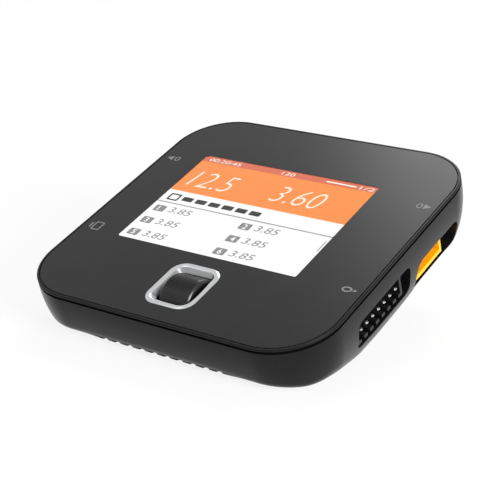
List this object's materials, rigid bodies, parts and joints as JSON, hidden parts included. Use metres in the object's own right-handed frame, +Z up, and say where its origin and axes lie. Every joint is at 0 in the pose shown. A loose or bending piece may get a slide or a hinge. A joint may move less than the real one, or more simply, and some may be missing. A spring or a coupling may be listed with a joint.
{
  "type": "balance battery charger",
  "caption": "Wedge-shaped desk charger for model batteries, with a sloping colour screen, a chrome-ringed thumb wheel, shrouded power sockets, a balance header and a rear fan.",
  "frame": {"origin": "on the table, under the middle of the whole object's box", "axes": "+X to the right as the user faces the screen, +Y to the back, +Z up"},
  "size_m": [0.0788, 0.0772, 0.0346],
  "materials": {
    "shell_plastic": "fine spark-eroded texture, black",
    "face_sheet": "satin coated sheet, black",
    "clear_window": "clear",
    "display_glass": "lit display",
    "plated_steel": "stamped",
    "foam": "closed cell",
    "flex_film": "polyimide film",
    "chrome_ring": "bright plated",
    "wheel_rubber": "ribbed, satin gloss",
    "inner_plastic": "moulded",
    "white_plastic": "moulded",
    "board_laminate": "solder mask",
    "aluminium_part": "extruded",
    "thermal_gel": "soft pad",
    "socket_nylon": "moulded, yellow",
    "contact_metal": "gold plated",
    "header_nylon": "moulded, black",
    "tinned_pin": "tin plated",
    "fan_plastic": "moulded, black",
    "copper_coil": "enamelled copper",
    "foot_rubber": "moulded"
  },
  "bodies": {
    "case": {"bottom_shell": "shell_plastic", "top_cover": "shell_plastic", "face_panel": "face_sheet", "screen_window": "clear_window", "lcd_panel": "display_glass", "lcd_frame": "plated_steel", "screen_gasket": "foam", "lcd_flex": "flex_film", "wheel_bezel": "chrome_ring", "tact_switch": "inner_plastic", "key_board": "board_laminate", "key_connector": "inner_plastic", "key_screws": "plated_steel", "main_board": "board_laminate", "board_screws": "plated_steel", "flex_connector": "white_plastic", "controller_chip": "inner_plastic", "power_inductors": "inner_plastic", "capacitors": "aluminium_part", "buzzer": "inner_plastic", "balance_resistors": "inner_plastic", "power_transistors": "inner_plastic", "thermal_pad": "thermal_gel", "heat_sink": "aluminium_part", "output_socket": "socket_nylon", "output_pins": "contact_metal", "input_socket": "socket_nylon", "input_pins": "contact_metal", "balance_header": "header_nylon", "balance_pins": "tinned_pin", "usb_shell": "plated_steel", "usb_tongue": "inner_plastic", "fan_frame": "fan_plastic", "fan_stator": "copper_coil", "case_screws": "plated_steel", "rubber_feet": "foot_rubber"},
    "carrier": {"wheel_cradle": "inner_plastic", "encoder_body": "inner_plastic", "switch_plunger": "white_plastic"},
    "wheel": {"thumb_wheel": "wheel_rubber", "wheel_axle": "plated_steel"},
    "fan": {"fan_rotor": "fan_plastic", "fan_shaft": "plated_steel"}
  },
  "joints": [
    {"name": "wheel_press", "type": "slide", "parent": "case", "child": "carrier", "axis": [0, 0.3057, -0.9521], "range_m": [0, 0.0003], "stiffness_N_per_m": 5000},
    {"name": "wheel_spin", "type": "hinge", "parent": "carrier", "child": "wheel", "pos_m": [0.0004, -0.02494, 0.01016], "axis": [1, 0, 0], "continuous": true},
    {"name": "fan_spin", "type": "hinge", "parent": "case", "child": "fan", "pos_m": [0, 0.02193, 0.01275], "axis": [0, 1, 0], "continuous": true}
  ]
}
